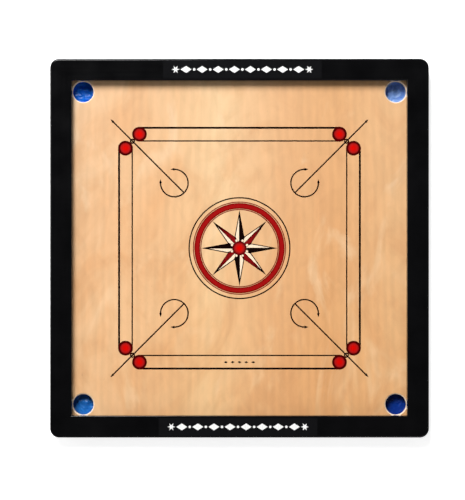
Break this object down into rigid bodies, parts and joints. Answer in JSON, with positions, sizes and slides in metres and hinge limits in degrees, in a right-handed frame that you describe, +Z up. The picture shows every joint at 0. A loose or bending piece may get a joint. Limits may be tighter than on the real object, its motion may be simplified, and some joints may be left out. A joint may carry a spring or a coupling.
{
  "type": "carrom board",
  "caption": "Square lacquered plywood carrom board in a raised black mitred frame, with a cloth pouch under each corner pocket hole.",
  "frame": {"origin": "middle of the frame's underside, on the surface that the board rests on", "axes": "+Z up, +Y towards the back rail, +X towards the right rail"},
  "size_m": [0.6604, 0.6604, 0.0353],
  "materials": {
    "frame_paint": "satin black lacquer on solid wood",
    "plywood": "clear lacquer, vertical grain",
    "batten_wood": "planed, bare",
    "pouch_cloth": "shiny woven nylon, royal blue",
    "nail_steel": "bright drawn wire",
    "label_vinyl": "matt charcoal vinyl",
    "ink_black": "screen ink under lacquer, near black",
    "ink_red": "screen ink under lacquer, red",
    "ink_cream": "screen ink under lacquer, cream",
    "ink_white": "white ink on vinyl"
  },
  "bodies": {
    "root": {"rail_front": "frame_paint", "rail_right": "frame_paint", "rail_back": "frame_paint", "rail_left": "frame_paint", "playing_board": "plywood", "batten_cross": "batten_wood", "batten_long": "batten_wood", "corner_nails": "nail_steel", "batten_nails": "nail_steel", "panel_pins": "nail_steel", "label_back": "label_vinyl", "label_front": "label_vinyl", "print_black": "ink_black", "print_red": "ink_red", "print_cream": "ink_cream", "print_white": "ink_white", "pouch_front_left": "pouch_cloth", "tacks_front_left": "nail_steel", "pouch_front_right": "pouch_cloth", "tacks_front_right": "nail_steel", "pouch_back_right": "pouch_cloth", "tacks_back_right": "nail_steel", "pouch_back_left": "pouch_cloth", "tacks_back_left": "nail_steel"}
  },
  "joints": []
}
